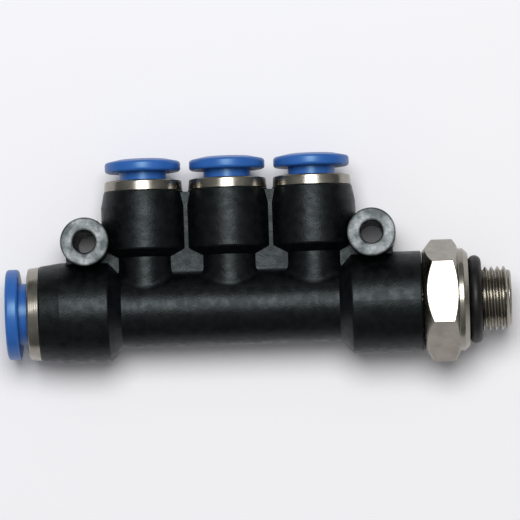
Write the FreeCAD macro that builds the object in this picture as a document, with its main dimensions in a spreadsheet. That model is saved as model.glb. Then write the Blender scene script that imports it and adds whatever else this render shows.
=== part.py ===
import FreeCAD, Part
import math
import os

import Sketcher

# Air distributor: one push-in port for 8 mm tube on the end of the run, three
# push-in ports for 6 mm tube on its side, and a swivelling G1/8 stud.
# Millimetres. The origin is midway between the two screw holes, on the panel
# that the lugs are screwed to. +Z leaves the panel, +X runs along the run
# towards the stud and +Y is the way the branches point.

BRANCHES = (1, 2, 3)
LUG_SIDES = (("left", -1), ("right", 1))

# Driving sizes: name, value, meaning. "run" sizes are the 8 mm port's and
# "branch" sizes the 6 mm ports'. Lengths along a port run outwards.
SIZES = [
    ("run_reach", 28.5, "middle branch to either end of the moulded body"),
    ("run_housing_radius", 7.5, "end housings"),
    ("run_housing_length", 10.4, "full-width stretch of an end housing"),
    ("run_cone_length", 1.9, "cone from an end housing to the run tube"),
    ("run_mouth_radius", 7.05, "body at the tube port's mouth"),
    ("run_mouth_taper", 3.2, "length over which the mouth narrows"),
    ("run_tube_radius", 5.53, "run between the housings"),
    ("run_passage_radius", 3.4, "air passage along the run"),
    ("neck_height", 7.83, "run axis to the top of a branch's neck"),
    ("branch_pitch", 12.6, "branch to branch"),
    ("branch_housing_radius", 6.39, "branch housings"),
    ("branch_housing_length", 8.82, "full-width stretch of a branch housing"),
    ("branch_cone_length", 1.15, "cone from a branch housing to its neck"),
    ("branch_mouth_radius", 5.9, "body at a branch mouth"),
    ("branch_mouth_taper", 2.4, "length over which the mouth narrows"),
    ("neck_radius", 4.45, "neck under a branch housing"),
    ("branch_passage_radius", 2.1, "air passage up a branch"),
    ("root_fillet", 1.2, "fillet at the foot of the necks and webs"),
    ("edge_round", 0.3, "rounding of the moulded outer edges"),
    ("web_thickness", 4.3, "webs between the branches"),
    ("web_gap", 0.4, "branch mouth down to the top of the web"),
    ("lug_spacing", 42.5, "screw hole to screw hole"),
    ("lug_rise", 10.2, "run axis to the screw holes"),
    ("lug_radius", 3.6, "outside of a lug"),
    ("lug_foot_width", 6.2, "web under a lug"),
    ("lug_hole_radius", 1.65, "M3 screw hole"),
    ("lug_hole_chamfer", 0.35, "chamfer at each end of a screw hole"),
    ("run_tube", 8.0, "outside diameter of the run's tube"),
    ("run_cavity_radius", 6.1, "bore that holds the run port's parts"),
    ("run_cavity_depth", 8.9, "depth of that bore"),
    ("run_seat_length", 3.1, "tube seat below that bore"),
    ("run_seal_length", 2.6, "height of the run seal"),
    ("run_backing_length", 1.2, "height of the claw's backing ring"),
    ("run_claw_thickness", 0.35, "strip of the claw ring"),
    ("run_claw_drop", 0.85, "how far the teeth slope down"),
    ("run_claw_land", 0.6, "flat rim of the claw ring"),
    ("run_sleeve_wall", 0.9, "guide ring's pressed sleeve"),
    ("run_ring_length", 1.7, "visible height of the guide ring"),
    ("run_ring_inset", 0.2, "the ring's top inside its foot, on the radius"),
    ("run_throat_length", 2.3, "throat that holds the collar in"),
    ("run_collar_wall", 0.52, "neck of the release collar"),
    ("run_flange_radius", 6.75, "flange of the release collar"),
    ("run_flange_length", 2.05, "thickness of that flange"),
    ("run_flange_dome", 0.15, "fall of its face towards the edge"),
    ("branch_tube", 6.0, "outside diameter of a branch's tube"),
    ("branch_cavity_radius", 4.9, "bore that holds a branch port's parts"),
    ("branch_cavity_depth", 7.6, "depth of that bore"),
    ("branch_seat_length", 3.2, "tube seat below that bore"),
    ("branch_seal_length", 2.1, "height of a branch seal"),
    ("branch_backing_length", 1.0, "height of the claw's backing ring"),
    ("branch_claw_thickness", 0.3, "strip of the claw ring"),
    ("branch_claw_drop", 0.75, "how far the teeth slope down"),
    ("branch_claw_land", 0.55, "flat rim of the claw ring"),
    ("branch_sleeve_wall", 0.8, "guide ring's pressed sleeve"),
    ("branch_ring_length", 1.5, "visible height of the guide ring"),
    ("branch_ring_inset", 0.12, "the ring's top inside its foot, on the radius"),
    ("branch_throat_length", 2.1, "throat that holds the collar in"),
    ("branch_collar_wall", 0.42, "neck of the release collar"),
    ("branch_flange_radius", 5.65, "flange of the release collar"),
    ("branch_flange_length", 1.95, "thickness of that flange"),
    ("branch_flange_dome", 0.45, "fall of its face towards the edge"),
    ("collar_travel", 1.15, "stroke of a release collar"),
    ("collar_stop", 0.15, "left between flange and ring when pressed"),
    ("collar_play", 0.08, "barb to throat when the collar stands out"),
    ("nose_gap", 0.3, "nose to claw ring when the collar is pressed"),
    ("barb_length", 0.7, "full-width stretch of the collar's barb"),
    ("nose_wall", 0.38, "wall at the tip of the collar's nose"),
    ("nose_slot", 0.8, "slots that let the nose snap in"),
    ("nose_slot_end", 0.6, "slots end this far inside the throat"),
    ("flange_round", 0.45, "rounding of a collar flange"),
    ("tube_clearance", 0.1, "collar bore over tube, on the radius"),
    ("seat_clearance", 0.05, "tube seat over tube, on the radius"),
    ("throat_clearance", 0.15, "collar neck in its throat, on the radius"),
    ("barb_clearance", 0.12, "barb in the guide ring, on the radius"),
    ("ring_margin", 0.05, "guide ring inside the body's mouth, on the radius"),
    ("turned_edge", 0.25, "edges of the guide rings, collar bores and stud bore"),
    ("flange_land", 0.5, "flat rim round the bore on a collar's face"),
    ("lip_squeeze", 0.12, "seal lip under the tube's radius"),
    ("lip_place", 0.7, "cavity floor to the seal's lip"),
    ("lip_length", 0.6, "straight stretch of the lip"),
    ("lip_tip", 0.1, "cavity floor to the tip before the lip"),
    ("seal_mouth", 0.3, "seal's openings outside the tube's radius"),
    ("seal_groove", 1.1, "depth of the groove behind the lip"),
    ("seal_foot", 0.3, "middle of the seal's wall to its foot"),
    ("claw_bite", 0.06, "claw tips under the tube's radius"),
    ("claw_slot", 0.7, "slots between the claw teeth"),
    ("hex_gap", 0.1, "body to hexagon, so that the stud can turn"),
    ("hex_across", 16.0, "hexagon across its flats"),
    ("hex_length", 5.3, "thickness of the hexagon"),
    ("hex_turn", 7.2, "turn of the hexagon from lying flat, degrees"),
    ("hex_back_chamfer", 1.5, "corner chamfer on the body side"),
    ("hex_front_chamfer", 0.75, "corner chamfer on the thread side"),
    ("hex_back_face", 0.7, "back face's edge inside the flats"),
    ("hex_front_face", 0.15, "front face's edge inside the flats"),
    ("stud_collar_radius", 7.65, "collar in front of the hexagon"),
    ("stud_collar_length", 1.5, "its thickness"),
    ("stud_collar_chamfer", 0.75, "its outer chamfer"),
    ("thread_radius", 4.8, "G1/8 thread over its crests"),
    ("thread_reach", 6.3, "sealing face to the end of the stud"),
    ("thread_chamfer", 0.8, "chamfer at the end of the thread"),
    ("undercut_radius", 4.6, "undercut that holds the thread O-ring"),
    ("undercut_length", 2.0, "its length"),
    ("thread_ring_section", 1.95, "thickness of the thread O-ring"),
    ("stud_bore_radius", 3.0, "air passage through the stud"),
    ("journal_radius", 5.55, "stud inside the body"),
    ("journal_clearance", 0.05, "journal in its bore, on the radius"),
    ("journal_length", 9.0, "stud's length inside the body"),
    ("journal_end_gap", 0.2, "stud's inner end to the bore's floor"),
    ("stem_ring_place", 2.1, "body's end to the stem O-ring's groove"),
    ("stem_ring_section", 1.25, "thickness of the stem O-ring"),
    ("stem_groove_slack", 0.6, "groove longer than the ring"),
    ("retainer_place", 2.4, "stud's inner end to the retaining ring"),
    ("retainer_thickness", 1.0, "split retaining ring"),
    ("retainer_depth", 0.75, "ring's reach into the body"),
    ("retainer_bite", 0.6, "ring's reach into the stud"),
    ("retainer_slack", 0.05, "ring in its grooves, each side"),
    ("retainer_split", 2.0, "gap of the split ring"),
]

doc = FreeCAD.newDocument("air_distributor")
sheet = doc.addObject("Spreadsheet::Sheet", "sizes")
sheet.set("A1", "name")
sheet.set("B1", "value")
sheet.set("C1", "meaning")
for row, (name, value, meaning) in enumerate(SIZES, start=2):
    sheet.set(f"A{row}", name)
    sheet.set(f"B{row}", str(value))
    sheet.set(f"C{row}", meaning)
    sheet.setAlias(f"B{row}", name)
doc.recompute()

BODY_END = "2 * sizes.run_reach"
BRANCH_REACH = "(sizes.neck_height + sizes.branch_cone_length + sizes.branch_housing_length)"
REACH = {"run": "sizes.run_reach", "branch": BRANCH_REACH}

# The run's axis: below the screw holes, and as high as the end housings reach,
# so that the lugs' backs lie in line with the housings.
RUN_Y = "-sizes.lug_rise"
RUN_Z = "sizes.run_housing_radius"

# Places along the stud, from the point where the middle branch crosses the run.
STUD_BACK = "(sizes.run_reach + sizes.hex_gap)"
HEX_FRONT = f"({STUD_BACK} + sizes.hex_length)"
SEAL_FACE = f"({HEX_FRONT} + sizes.stud_collar_length)"
STUD_END = f"({SEAL_FACE} + sizes.thread_reach)"
STUD_INNER = "(sizes.run_reach - sizes.journal_length)"
STEM_RING_INNER = "(sizes.journal_radius + sizes.journal_clearance / 2 - sizes.stem_ring_section)"
STEM_GROOVE_TOP = "(sizes.run_reach - sizes.stem_ring_place)"
STEM_GROOVE_LOW = f"({STEM_GROOVE_TOP} - sizes.stem_ring_section - sizes.stem_groove_slack)"
RETAINER_LOW = f"({STUD_INNER} + sizes.retainer_place)"
RETAINER_TOP = f"({RETAINER_LOW} + sizes.retainer_thickness)"
RETAINER_INNER = "(sizes.journal_radius - sizes.retainer_bite)"

# Turns that take a piece's own +Z to the row's directions.
TO_MINUS_X = (FreeCAD.Vector(0, 1, 0), -90)
TO_PLUS_X = (FreeCAD.Vector(0, 1, 0), 90)
TO_PLUS_Y = (FreeCAD.Vector(1, 0, 0), -90)
UNTURNED = (FreeCAD.Vector(0, 0, 1), 0)

# Lengths closer than this are taken as the same.
SAME = 1e-3

# An edge is probed at these shares of its length.
PROBES = (0.2, 0.5, 0.8)

nodes = []


def number(expression):
    """Value of an expression over the sheet."""
    result = sheet.evalExpression(expression)
    return float(getattr(result, "Value", result))


def origin_plane(body, role):
    """One of a body's own origin planes or axes."""
    return next(part for part in body.Origin.OriginFeatures if part.Role == role)


def place(part, turn, x="0", y="0", z="0"):
    """Turn a part and bind its position to the sheet."""
    axis, degrees = turn
    part.Placement = FreeCAD.Placement(FreeCAD.Vector(), FreeCAD.Rotation(axis, degrees))
    for axis_name, expression in (("x", x), ("y", y), ("z", z)):
        part.setExpression(f".Placement.Base.{axis_name}", expression)


def place_on_run(part, turn, x="0"):
    """Place a part whose own origin lies on the run's axis."""
    place(part, turn, x, RUN_Y, RUN_Z)


def node(part, label):
    """Name a finished part: the label is its file's name."""
    part.Label = label
    nodes.append(part)
    return part


def bind(sketch, kind, index, corner, expression):
    """Fix one coordinate of a sketch point to an expression."""
    value = number(expression)
    constraint = Sketcher.Constraint(kind, -1, 1, index, corner, value)
    position = sketch.addConstraint(constraint)
    sketch.setExpression(f"Constraints[{position}]", expression)


def outline(body, name, plane, points):
    """Closed sketch of straight edges whose corners are bound to the sheet."""
    sketch = body.newObject("Sketcher::SketchObject", name)
    sketch.AttachmentSupport = [(origin_plane(body, plane), "")]
    sketch.MapMode = "FlatFace"
    corners = [FreeCAD.Vector(number(a), number(b), 0) for a, b in points]
    count = len(corners)
    for index in range(count):
        edge = Part.LineSegment(corners[index], corners[(index + 1) % count])
        sketch.addGeometry(edge, False)
    for index in range(count):
        sketch.addConstraint(Sketcher.Constraint("Coincident", index, 2, (index + 1) % count, 1))
    for index, (across, along) in enumerate(points):
        if across == "0":
            sketch.addConstraint(Sketcher.Constraint("PointOnObject", index, 1, -2))
        else:
            bind(sketch, "DistanceX", index, 1, across)
        if along == "0":
            sketch.addConstraint(Sketcher.Constraint("PointOnObject", index, 1, -1))
        else:
            bind(sketch, "DistanceY", index, 1, along)
    return sketch


def turned(name, points):
    """Body turned about its own Z from (radius, height) corners."""
    body = doc.addObject("PartDesign::Body", name)
    sketch = outline(body, f"{name}_section", "XZ_Plane", points)
    spin = body.newObject("PartDesign::Revolution", f"{name}_turned")
    spin.Profile = sketch
    spin.ReferenceAxis = (sketch, ["V_Axis"])
    spin.Angle = 360
    body.Tip = spin
    doc.recompute()
    return body


def rim_edges(body, rims):
    """Names of the circular edges at the given (radius, height) corners."""
    wanted = [(number(radius), number(height)) for radius, height in rims]
    found = []
    for index, edge in enumerate(body.Tip.Shape.Edges, start=1):
        if not isinstance(edge.Curve, Part.Circle):
            continue
        size = edge.Curve.Radius
        height = edge.Curve.Center.z
        if any(abs(size - r) < SAME and abs(height - h) < SAME for r, h in wanted):
            found.append(f"Edge{index}")
    return found


def rounded(body, name, edges, radius):
    """Fillet on edges of a body."""
    base = body.Tip
    fillet = body.newObject("PartDesign::Fillet", name)
    fillet.Base = (base, edges)
    fillet.setExpression("Radius", radius)
    body.Tip = fillet
    doc.recompute()


# Manifold body: outside

RUN_SHOULDER = "(sizes.run_housing_length + sizes.run_cone_length)"
HALF_WEB = "sizes.web_thickness / 2"

# A cone runs on by this share of its length into the tube or neck that it meets.
RUN_ON = 0.3


def cone_foot(wide, narrow):
    """Radius at which a cone that runs on ends."""
    return f"({narrow} - {RUN_ON} * ({wide} - {narrow}))"


def branch_x(index):
    """Place of a branch along the run."""
    return f"{index - 2} * sizes.branch_pitch"


def root_edges(body):
    """Edges where the necks and the webs leave the run tube."""
    tube = number("sizes.run_tube_radius")
    neck = number("sizes.neck_radius")
    pitch = number("sizes.branch_pitch")
    half_web = number(HALF_WEB)
    found = []
    for index, edge in enumerate(body.Tip.Shape.Edges, start=1):
        span = edge.LastParameter - edge.FirstParameter
        points = [edge.valueAt(edge.FirstParameter + span * share) for share in PROBES]
        on_tube = all(abs(math.hypot(p.y, p.z) - tube) < SAME and p.y > 0 for p in points)
        on_web = all(abs(abs(p.z) - half_web) < SAME for p in points)
        on_neck = any(
            all(abs(math.hypot(p.x - (k - 2) * pitch, p.z) - neck) < SAME for p in points)
            for k in BRANCHES)
        if on_tube and (on_web or on_neck):
            found.append(f"Edge{index}")
    return found


def tube_form():
    """Run tube with the necks and webs that rise from it, filleted at their feet."""
    body = doc.addObject("PartDesign::Body", "tube_form")
    tube = body.newObject("PartDesign::AdditiveCylinder", "run_tube_form")
    tube.setExpression("Radius", "sizes.run_tube_radius")
    tube.setExpression("Height", f"{BODY_END} - sizes.run_housing_length")
    place(tube, TO_PLUS_X, x="-(sizes.run_reach - sizes.run_housing_length / 2)")
    for index in BRANCHES:
        neck = body.newObject("PartDesign::AdditiveCylinder", f"neck_{index}")
        neck.setExpression("Radius", "sizes.neck_radius")
        neck.setExpression("Height", "sizes.neck_height + sizes.branch_cone_length / 2")
        place(neck, TO_PLUS_Y, x=branch_x(index))
    half_lugs = "(sizes.lug_spacing + sizes.lug_foot_width) / 2"
    webs = (
        ("branch_web", "sizes.branch_pitch", f"{BRANCH_REACH} - sizes.web_gap"),
        ("lug_web", half_lugs, "sizes.lug_rise"),
    )
    for name, half_length, top in webs:
        web = body.newObject("PartDesign::AdditiveBox", name)
        web.setExpression("Length", f"2 * {half_length}")
        web.setExpression("Width", top)
        web.setExpression("Height", "sizes.web_thickness")
        place(web, UNTURNED, x=f"-{half_length}", z=f"-{HALF_WEB}")
        body.Tip = web
    doc.recompute()
    rounded(body, "roots", root_edges(body), "sizes.root_fillet")
    place_on_run(body, UNTURNED)
    return body


RUN_CONE_FOOT = cone_foot("sizes.run_housing_radius", "sizes.run_tube_radius")
RUN_CONE_END = f"({RUN_SHOULDER} + {RUN_ON} * sizes.run_cone_length)"


def mouth_housing():
    """End housing that holds the run's tube port."""
    body = turned("mouth_housing", [
        ("0", "0"),
        ("sizes.run_mouth_radius", "0"),
        ("sizes.run_housing_radius", "sizes.run_mouth_taper"),
        ("sizes.run_housing_radius", "sizes.run_housing_length"),
        (RUN_CONE_FOOT, RUN_CONE_END),
        ("0", RUN_CONE_END),
    ])
    edges = rim_edges(body, [
        ("sizes.run_mouth_radius", "0"),
        ("sizes.run_housing_radius", "sizes.run_housing_length"),
    ])
    rounded(body, "mouth_housing_edges", edges, "sizes.edge_round")
    place_on_run(body, TO_PLUS_X, x="-sizes.run_reach")
    return body


def stud_housing():
    """End housing that holds the stud."""
    body = turned("stud_housing", [
        ("0", "0"),
        ("sizes.run_housing_radius", "0"),
        ("sizes.run_housing_radius", "sizes.run_housing_length"),
        (RUN_CONE_FOOT, RUN_CONE_END),
        ("0", RUN_CONE_END),
    ])
    edges = rim_edges(body, [
        ("sizes.run_housing_radius", "0"),
        ("sizes.run_housing_radius", "sizes.run_housing_length"),
    ])
    rounded(body, "stud_housing_edges", edges, "sizes.edge_round")
    place_on_run(body, TO_MINUS_X, x="sizes.run_reach")
    return body


def branch_form(index):
    """Housing of one branch, from its cone to its mouth."""
    shoulder = "(sizes.neck_height + sizes.branch_cone_length)"
    taper_start = f"({BRANCH_REACH} - sizes.branch_mouth_taper)"
    foot = f"(sizes.neck_height - {RUN_ON} * sizes.branch_cone_length)"
    body = turned(f"branch_form_{index}", [
        ("0", foot),
        (cone_foot("sizes.branch_housing_radius", "sizes.neck_radius"), foot),
        ("sizes.branch_housing_radius", shoulder),
        ("sizes.branch_housing_radius", taper_start),
        ("sizes.branch_mouth_radius", BRANCH_REACH),
        ("0", BRANCH_REACH),
    ])
    edges = rim_edges(body, [
        ("sizes.branch_housing_radius", shoulder),
        ("sizes.branch_mouth_radius", BRANCH_REACH),
    ])
    rounded(body, f"branch_edges_{index}", edges, "sizes.edge_round")
    place_on_run(body, TO_PLUS_Y, x=branch_x(index))
    return body


def lug_x(side):
    """Place of a lug along the run."""
    return f"{side} * sizes.lug_spacing / 2"


def lug_form(name, side):
    """Round lug, as tall as the end housings are wide."""
    height = "2 * sizes.run_housing_radius"
    body = turned(f"lug_form_{name}", [
        ("0", "0"),
        ("sizes.lug_radius", "0"),
        ("sizes.lug_radius", height),
        ("0", height),
    ])
    edges = rim_edges(body, [("sizes.lug_radius", "0"), ("sizes.lug_radius", height)])
    rounded(body, f"lug_edges_{name}", edges, "sizes.edge_round")
    place(body, UNTURNED, x=lug_x(side))
    return body


# Manifold body: bores

def run_bore():
    """Tube port, air passage and stud bore along the run."""
    cavity = "sizes.run_cavity_depth"
    seat = f"({cavity} + sizes.run_seat_length)"
    seat_radius = "sizes.run_tube / 2 + sizes.seat_clearance"
    journal_radius = "(sizes.journal_radius + sizes.journal_clearance)"
    floor = f"({BODY_END} - sizes.journal_length - sizes.journal_end_gap)"
    groove_radius = f"({journal_radius} + sizes.retainer_depth)"
    groove_start = f"(sizes.run_reach + {RETAINER_LOW} - sizes.retainer_slack)"
    groove_end = f"(sizes.run_reach + {RETAINER_TOP} + sizes.retainer_slack)"
    body = turned("run_bore", [
        ("0", "0"),
        ("sizes.run_cavity_radius", "0"),
        ("sizes.run_cavity_radius", cavity),
        (seat_radius, cavity),
        (seat_radius, seat),
        ("sizes.run_passage_radius", seat),
        ("sizes.run_passage_radius", floor),
        (journal_radius, floor),
        (journal_radius, groove_start),
        (groove_radius, groove_start),
        (groove_radius, groove_end),
        (journal_radius, groove_end),
        (journal_radius, BODY_END),
        ("0", BODY_END),
    ])
    place_on_run(body, TO_PLUS_X, x="-sizes.run_reach")
    return body


def branch_bore(index):
    """Tube port and air passage of one branch."""
    cavity = f"({BRANCH_REACH} - sizes.branch_cavity_depth)"
    seat = f"({cavity} - sizes.branch_seat_length)"
    seat_radius = "sizes.branch_tube / 2 + sizes.seat_clearance"
    body = turned(f"branch_bore_{index}", [
        ("0", "0"),
        ("sizes.branch_passage_radius", "0"),
        ("sizes.branch_passage_radius", seat),
        (seat_radius, seat),
        (seat_radius, cavity),
        ("sizes.branch_cavity_radius", cavity),
        ("sizes.branch_cavity_radius", BRANCH_REACH),
        ("0", BRANCH_REACH),
    ])
    place_on_run(body, TO_PLUS_Y, x=branch_x(index))
    return body


def lug_hole(name, side):
    """Screw hole through a lug, chamfered at both ends."""
    height = "2 * sizes.run_housing_radius"
    chamfer = "sizes.lug_hole_chamfer"
    mouth = f"sizes.lug_hole_radius + {chamfer}"
    body = turned(f"lug_hole_{name}", [
        ("0", "0"),
        (mouth, "0"),
        ("sizes.lug_hole_radius", chamfer),
        ("sizes.lug_hole_radius", f"{height} - {chamfer}"),
        (mouth, height),
        ("0", height),
    ])
    place(body, UNTURNED, x=lug_x(side))
    return body


def manifold_body():
    """One moulding: outside forms joined, then bored."""
    outside = doc.addObject("Part::MultiFuse", "manifold_outside")
    forms = [tube_form(), mouth_housing(), stud_housing()]
    forms += [branch_form(index) for index in BRANCHES]
    forms += [lug_form(name, side) for name, side in LUG_SIDES]
    outside.Shapes = forms
    bores = doc.addObject("Part::MultiFuse", "manifold_bores")
    cutters = [run_bore()]
    cutters += [branch_bore(index) for index in BRANCHES]
    cutters += [lug_hole(name, side) for name, side in LUG_SIDES]
    bores.Shapes = cutters
    bored = doc.addObject("Part::Cut", "manifold_bored")
    bored.Base = outside
    bored.Tool = bores
    return node(bored, "manifold_body")


# Push-in ports. Each piece is modelled about its own Z, which is the port's
# axis, from the point where that axis crosses the middle of the run.

class Port:
    """Heights and radii that the pieces of one port share."""

    def __init__(self, kind):
        size = f"sizes.{kind}_"
        self.mouth = REACH[kind]
        self.tube = f"{size}tube / 2"
        self.cavity = f"{size}cavity_radius"
        self.floor = f"({self.mouth} - {size}cavity_depth)"
        self.seal_top = f"({self.floor} + {size}seal_length)"
        self.backing_top = f"({self.seal_top} + {size}backing_length)"
        self.claw_top = f"({self.backing_top} + {size}claw_thickness)"
        self.claw_drop = f"{size}claw_drop"
        self.land = f"({size}cavity_radius - {size}claw_land)"
        self.sleeve = f"({size}cavity_radius - {size}sleeve_wall)"
        self.ring_base = f"{size}mouth_radius - sizes.ring_margin"
        self.ring_inset = f"{size}ring_inset"
        self.ring_top = f"({self.mouth} + {size}ring_length)"
        self.throat_low = f"({self.ring_top} - {size}throat_length)"
        self.bore = f"({self.tube} + sizes.tube_clearance)"
        self.neck = f"({self.bore} + {size}collar_wall)"
        self.throat = f"({self.neck} + sizes.throat_clearance)"
        self.flange_radius = f"{size}flange_radius"
        self.flange_low = f"({self.ring_top} + sizes.collar_travel + sizes.collar_stop)"
        self.flange_top = f"({self.flange_low} + {size}flange_length)"
        self.dome = f"{size}flange_dome"


def tube_seal(port, name):
    """Rubber seal with a lip that grips the tube, open to the pressure side."""
    lip = f"{port.tube} - sizes.lip_squeeze"
    lip_start = f"{port.floor} + sizes.lip_place"
    mouth = f"{port.tube} + sizes.seal_mouth"
    middle = f"({port.cavity} + {port.tube}) / 2"
    return turned(name, [
        (f"{middle} + sizes.seal_foot", port.floor),
        (port.cavity, port.floor),
        (port.cavity, port.seal_top),
        (mouth, port.seal_top),
        (lip, f"{lip_start} + sizes.lip_length"),
        (lip, lip_start),
        (mouth, f"{port.floor} + sizes.lip_tip"),
        (middle, f"{port.floor} + sizes.seal_groove"),
    ])


def claw_backing_ring(port, name):
    """Ring between seal and claw ring, which leaves the teeth room to bend."""
    return turned(name, [
        (port.land, port.seal_top),
        (port.cavity, port.seal_top),
        (port.cavity, port.backing_top),
        (port.land, port.backing_top),
    ])


def lock_claw(port, name, teeth):
    """Spring-steel ring whose teeth slope in and down to grip the tube."""
    tip = f"{port.tube} - sizes.claw_bite"
    body = turned(name, [
        (port.land, port.backing_top),
        (port.cavity, port.backing_top),
        (port.cavity, port.claw_top),
        (port.land, port.claw_top),
        (tip, f"{port.claw_top} - {port.claw_drop}"),
        (tip, f"{port.backing_top} - {port.claw_drop}"),
    ])
    sketch = outline(body, f"{name}_slot", "XY_Plane", [
        ("0", "-sizes.claw_slot / 2"),
        (port.land, "-sizes.claw_slot / 2"),
        (port.land, "sizes.claw_slot / 2"),
        ("0", "sizes.claw_slot / 2"),
    ])
    slot = body.newObject("PartDesign::Pocket", f"{name}_slots")
    slot.Profile = sketch
    slot.Type = 1
    slot.Midplane = True
    body.Tip = slot
    doc.recompute()
    pattern = body.newObject("PartDesign::PolarPattern", f"{name}_pattern")
    pattern.Originals = [slot]
    pattern.Axis = (sketch, ["N_Axis"])
    pattern.Angle = 360
    pattern.Occurrences = teeth
    body.Tip = pattern
    doc.recompute()
    return body


def guide_ring(port, name):
    """Plated brass ring pressed into the mouth; its throat holds the collar in."""
    body = turned(name, [
        (port.sleeve, port.claw_top),
        (port.cavity, port.claw_top),
        (port.cavity, port.mouth),
        (port.ring_base, port.mouth),
        (f"{port.ring_base} - {port.ring_inset}", port.ring_top),
        (f"{port.throat} + sizes.turned_edge", port.ring_top),
        (port.throat, f"{port.ring_top} - sizes.turned_edge"),
        (port.throat, port.throat_low),
        (port.sleeve, port.throat_low),
    ])
    edges = rim_edges(body, [(f"{port.ring_base} - {port.ring_inset}", port.ring_top)])
    rounded(body, f"{name}_edge", edges, "sizes.turned_edge")
    return body


def release_collar(port, name):
    """Collar that is pressed in to free the tube, with a slotted, barbed nose."""
    nose = f"({port.bore} + sizes.nose_wall)"
    nose_low = f"({port.claw_top} + sizes.collar_travel + sizes.nose_gap)"
    barb = f"({port.sleeve} - sizes.barb_clearance)"
    barb_top = f"({port.throat_low} - sizes.collar_play)"
    body = turned(name, [
        (port.bore, nose_low),
        (nose, nose_low),
        (barb, f"{barb_top} - sizes.barb_length"),
        (barb, barb_top),
        (port.neck, barb_top),
        (port.neck, port.flange_low),
        (port.flange_radius, port.flange_low),
        (port.flange_radius, f"{port.flange_top} - {port.dome}"),
        (f"{port.bore} + sizes.flange_land", port.flange_top),
        (f"{port.bore} + sizes.turned_edge", port.flange_top),
        (port.bore, f"{port.flange_top} - sizes.turned_edge"),
    ])
    edges = rim_edges(body, [
        (port.flange_radius, port.flange_low),
        (port.flange_radius, f"{port.flange_top} - {port.dome}"),
    ])
    rounded(body, f"{name}_flange", edges, "sizes.flange_round")
    slot_top = f"({port.ring_top} - sizes.nose_slot_end)"
    for plane in ("XZ_Plane", "YZ_Plane"):
        sketch = outline(body, f"{name}_slot_{plane[:2]}", plane, [
            ("-sizes.nose_slot / 2", nose_low),
            ("sizes.nose_slot / 2", nose_low),
            ("sizes.nose_slot / 2", slot_top),
            ("-sizes.nose_slot / 2", slot_top),
        ])
        slot = body.newObject("PartDesign::Pocket", f"{name}_slots_{plane[:2]}")
        slot.Profile = sketch
        slot.Type = 1
        slot.Midplane = True
        body.Tip = slot
        doc.recompute()
    return body


def push_in_port(kind, prefix, turn, x, teeth):
    """All the pieces of one port, each on the port's axis."""
    port = Port(kind)
    pieces = [
        (tube_seal(port, f"{prefix}_seal_form"), "tube_seal"),
        (claw_backing_ring(port, f"{prefix}_backing_form"), "claw_backing_ring"),
        (lock_claw(port, f"{prefix}_claw_form", teeth), "lock_claw"),
        (guide_ring(port, f"{prefix}_guide_form"), "guide_ring"),
        (release_collar(port, f"{prefix}_collar_form"), "release_collar"),
    ]
    for piece, label in pieces:
        place_on_run(piece, turn, x=x)
        node(piece, f"{prefix}_{label}")


# Stud, modelled about its own Z, which is the run's axis, from the point where
# the middle branch crosses it.


def stud_solid():
    """Journal, core of the hexagon, collar, undercut and thread, without the bore."""
    core = "(sizes.hex_across / 2 - sizes.hex_back_face)"
    groove = f"({RETAINER_INNER} - sizes.retainer_slack)"
    return turned("stud_solid", [
        ("0", STUD_INNER),
        ("sizes.journal_radius", STUD_INNER),
        ("sizes.journal_radius", f"{RETAINER_LOW} - sizes.retainer_slack"),
        (groove, f"{RETAINER_LOW} - sizes.retainer_slack"),
        (groove, f"{RETAINER_TOP} + sizes.retainer_slack"),
        ("sizes.journal_radius", f"{RETAINER_TOP} + sizes.retainer_slack"),
        ("sizes.journal_radius", STEM_GROOVE_LOW),
        (STEM_RING_INNER, STEM_GROOVE_LOW),
        (STEM_RING_INNER, STEM_GROOVE_TOP),
        ("sizes.journal_radius", STEM_GROOVE_TOP),
        ("sizes.journal_radius", STUD_BACK),
        (core, STUD_BACK),
        (core, f"{STUD_BACK} + sizes.hex_length / 2"),
        ("sizes.stud_collar_radius", f"{STUD_BACK} + sizes.hex_length / 2"),
        ("sizes.stud_collar_radius", f"{SEAL_FACE} - sizes.stud_collar_chamfer"),
        ("sizes.stud_collar_radius - sizes.stud_collar_chamfer", SEAL_FACE),
        ("sizes.undercut_radius", SEAL_FACE),
        ("sizes.undercut_radius", f"{SEAL_FACE} + sizes.undercut_length"),
        ("sizes.thread_radius", f"{SEAL_FACE} + sizes.undercut_length"),
        ("sizes.thread_radius", f"{STUD_END} - sizes.thread_chamfer"),
        ("sizes.thread_radius - sizes.thread_chamfer", STUD_END),
        ("0", STUD_END),
    ])


def hexagon():
    """Hexagon, chamfered by the cones of a turned form."""
    flat = "(sizes.hex_across / 2)"
    corner = f"({flat} / cos(30))"
    cones = turned("hex_cones", [
        ("0", STUD_BACK),
        (f"{flat} - sizes.hex_back_face", STUD_BACK),
        (corner, f"{STUD_BACK} + sizes.hex_back_chamfer"),
        (corner, f"{HEX_FRONT} - sizes.hex_front_chamfer"),
        (f"{flat} - sizes.hex_front_face", HEX_FRONT),
        ("0", HEX_FRONT),
    ])
    prism = doc.addObject("Part::Prism", "hex_prism")
    prism.Polygon = 6
    prism.setExpression("Circumradius", corner)
    prism.setExpression("Height", "sizes.hex_length")
    place(prism, UNTURNED, z=STUD_BACK)
    prism.setExpression(".Placement.Rotation.Angle", "30 - sizes.hex_turn")
    both = doc.addObject("Part::MultiCommon", "hexagon")
    both.Shapes = [prism, cones]
    return both


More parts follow.
